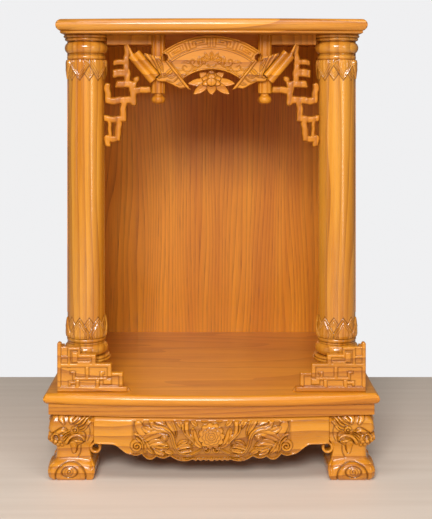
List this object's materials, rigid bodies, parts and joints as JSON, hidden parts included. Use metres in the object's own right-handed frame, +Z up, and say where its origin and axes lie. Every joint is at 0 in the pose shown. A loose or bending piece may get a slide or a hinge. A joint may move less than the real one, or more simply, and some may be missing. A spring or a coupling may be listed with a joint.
{
  "type": "altar cabinet",
  "caption": "Open-fronted wooden altar cabinet: carved cabriole feet, bowed base, turned columns, lattice brackets and a fan plaque under a bowed cornice.",
  "frame": {"origin": "on the floor, at the middle of the footprint", "axes": "+X to the right seen from the open front, +Y from the front to the back, +Z up"},
  "size_m": [0.492, 0.4299, 0.678],
  "materials": {
    "polished_boards": "gloss lacquer",
    "case_veneer": "gloss lacquer over veneer",
    "turned_columns": "gloss lacquer",
    "carved_base": "gloss lacquer, darker in the carving",
    "corner_fences": "gloss lacquer",
    "hanging_carving": "gloss lacquer, darker in the carving"
  },
  "bodies": {
    "root": {"foot_front_left": "carved_base", "foot_front_right": "carved_base", "foot_back_left": "carved_base", "foot_back_right": "carved_base", "apron_front": "carved_base", "apron_left": "carved_base", "apron_right": "carved_base", "apron_back": "carved_base", "frieze_front": "polished_boards", "frieze_left": "polished_boards", "frieze_right": "polished_boards", "frieze_back": "polished_boards", "base_top": "polished_boards", "fence_front_left": "corner_fences", "fence_front_right": "corner_fences", "fence_side_left": "corner_fences", "fence_side_right": "corner_fences", "column_drum_left": "turned_columns", "column_drum_right": "turned_columns", "column_left": "turned_columns", "column_right": "turned_columns", "side_wall_left": "case_veneer", "side_wall_right": "case_veneer", "back_panel": "case_veneer", "soffit_board": "polished_boards", "top_board": "polished_boards", "header_rail_left": "hanging_carving", "header_rail_right": "hanging_carving", "hanging_post_left": "hanging_carving", "hanging_post_right": "hanging_carving", "lattice_left": "hanging_carving", "lattice_right": "hanging_carving", "fan_panel": "hanging_carving", "ribbon_left": "hanging_carving", "ribbon_right": "hanging_carving", "scrolls_left": "hanging_carving", "scrolls_right": "hanging_carving", "lotus": "hanging_carving"}
  },
  "joints": []
}
